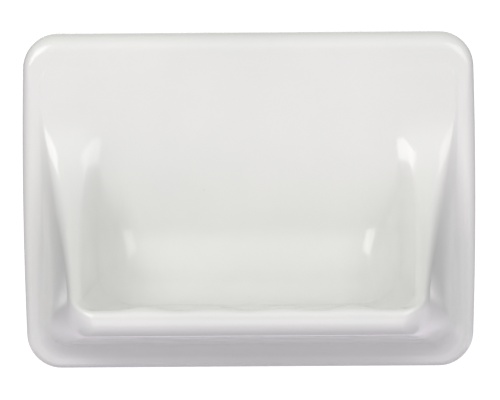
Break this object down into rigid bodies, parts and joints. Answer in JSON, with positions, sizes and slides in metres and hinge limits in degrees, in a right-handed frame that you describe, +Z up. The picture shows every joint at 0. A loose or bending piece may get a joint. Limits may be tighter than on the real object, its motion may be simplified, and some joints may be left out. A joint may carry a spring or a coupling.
{
  "type": "soap dish",
  "caption": "Wall-hung ceramic soap dish with swept wings, a ribbed tray and a beaded lip, hooked down over a dovetailed steel wall bracket.",
  "frame": {"origin": "on the wall's surface, at the middle of the plate's outline and midway between the two screws", "axes": "+X to the right across the dish, +Y into the wall, +Z up"},
  "size_m": [0.162, 0.1139, 0.1206],
  "materials": {
    "glaze": "white gloss glaze on a fired clay casting",
    "bracket_steel": "stamped and galvanised sheet",
    "screw_steel": "bright zinc plating",
    "plug_plastic": "moulded, matt"
  },
  "bodies": {
    "wall_fixing": {"wall_bracket": "bracket_steel", "bracket_screws": "screw_steel", "wall_plugs": "plug_plastic"},
    "dish": {"dish_body": "glaze"}
  },
  "joints": [
    {"name": "dish_lift", "type": "slide", "parent": "wall_fixing", "child": "dish", "axis": [0, 0, 1], "range_m": [0, 0.019]}
  ]
}
